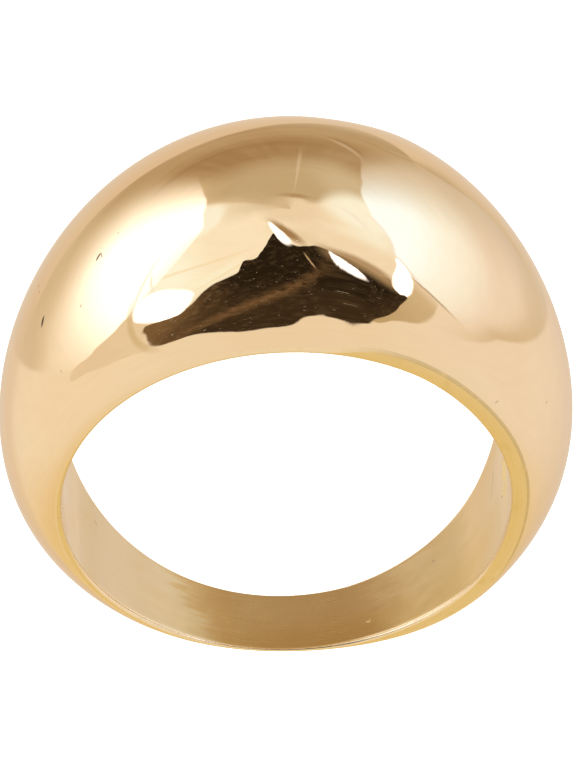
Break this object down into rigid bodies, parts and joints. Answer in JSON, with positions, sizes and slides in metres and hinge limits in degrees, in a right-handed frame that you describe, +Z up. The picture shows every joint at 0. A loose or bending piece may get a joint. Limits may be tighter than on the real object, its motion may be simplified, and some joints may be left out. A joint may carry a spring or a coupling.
{
  "type": "domed statement ring",
  "caption": "Domed gold-tone statement ring: a tall, wide, mirror-polished dome over the finger, tapering to a narrow, thin band at the back. It lies on its side.",
  "frame": {"origin": "on the surface the ring lies on, under the middle of its overall box", "axes": "+Z up; the dome points to -Y and the thin back of the band to +Y; the finger bore runs up through the ring and leans 13.3 degrees from +Z towards +Y; X runs across the ring"},
  "size_m": [0.022, 0.023, 0.0116],
  "materials": {
    "gold_plate": "mirror-polished pale yellow gold plate outside, less polished inside the bore"
  },
  "bodies": {
    "root": {"ring": "gold_plate"}
  },
  "joints": []
}
